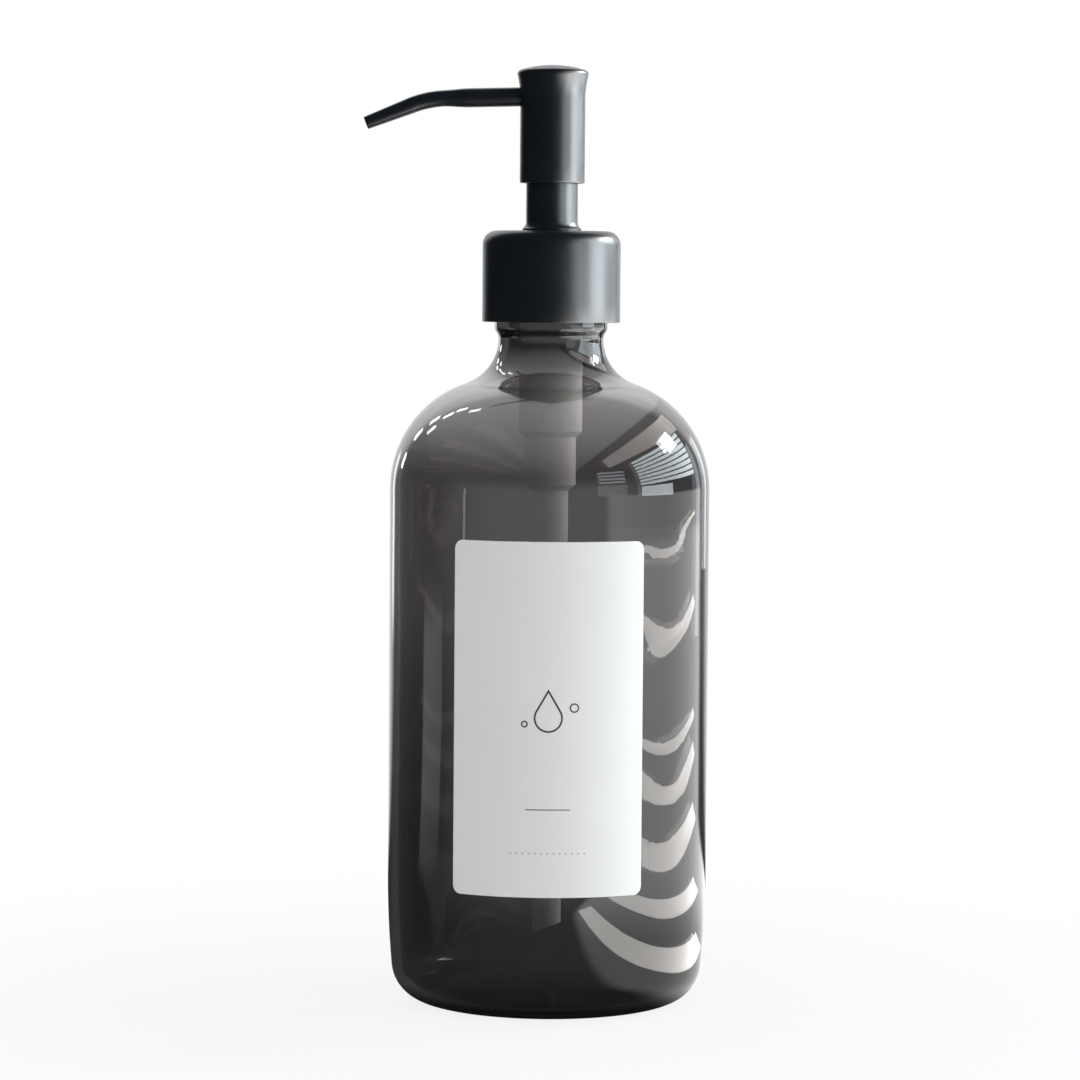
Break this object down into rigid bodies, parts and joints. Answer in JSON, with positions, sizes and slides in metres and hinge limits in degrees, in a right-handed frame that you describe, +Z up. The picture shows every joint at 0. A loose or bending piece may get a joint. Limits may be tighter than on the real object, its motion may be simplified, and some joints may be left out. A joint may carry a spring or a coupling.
{
  "type": "soap dispenser",
  "caption": "Round-shouldered glass bottle with a rounded label and a screw-on press pump: metal cap, flared head and a thin bent spout.",
  "frame": {"origin": "centre of the base plane, on the bottle's axis", "axes": "+Z up along the bottle's axis, -Y towards the label's side, -X along the spout"},
  "size_m": [0.0817, 0.0751, 0.2196],
  "materials": {
    "smoke_glass": "gloss",
    "label_paper": "matte",
    "black_metal": "satin",
    "white_plastic": "satin",
    "milky_plastic": "satin",
    "seal": "matte",
    "steel": "polished"
  },
  "bodies": {
    "bottle": {"bottle": "smoke_glass", "label": "label_paper"},
    "pump_body": {"housing": "milky_plastic", "chaplet": "white_plastic", "neck_sleeve": "black_metal", "gasket": "seal", "dip_tube": "milky_plastic", "inlet_ball": "steel", "spring": "steel"},
    "closure": {"cap_shell": "black_metal", "cap_insert": "white_plastic"},
    "piston": {"piston": "white_plastic"},
    "head": {"stem": "white_plastic", "plunger_tip": "white_plastic", "head_core": "white_plastic", "head_shell": "black_metal", "spout": "black_metal"}
  },
  "joints": [
    {"name": "pump_pull", "type": "slide", "parent": "bottle", "child": "pump_body", "axis": [0, 0, 1], "range_m": [0, 0.17]},
    {"name": "cap_turn", "type": "hinge", "parent": "pump_body", "child": "closure", "pos_m": [0, 0, 0.17], "axis": [0, 0, 1], "continuous": true},
    {"name": "pump_press", "type": "slide", "parent": "pump_body", "child": "piston", "axis": [0, 0, 1], "range_m": [-0.0095, 0], "stiffness_N_per_m": 1000, "springref_m": 0.0012, "deforming": ["spring"]},
    {"name": "head_turn", "type": "hinge", "parent": "piston", "child": "head", "pos_m": [0, 0, 0.2], "axis": [0, 0, 1], "continuous": true}
  ]
}
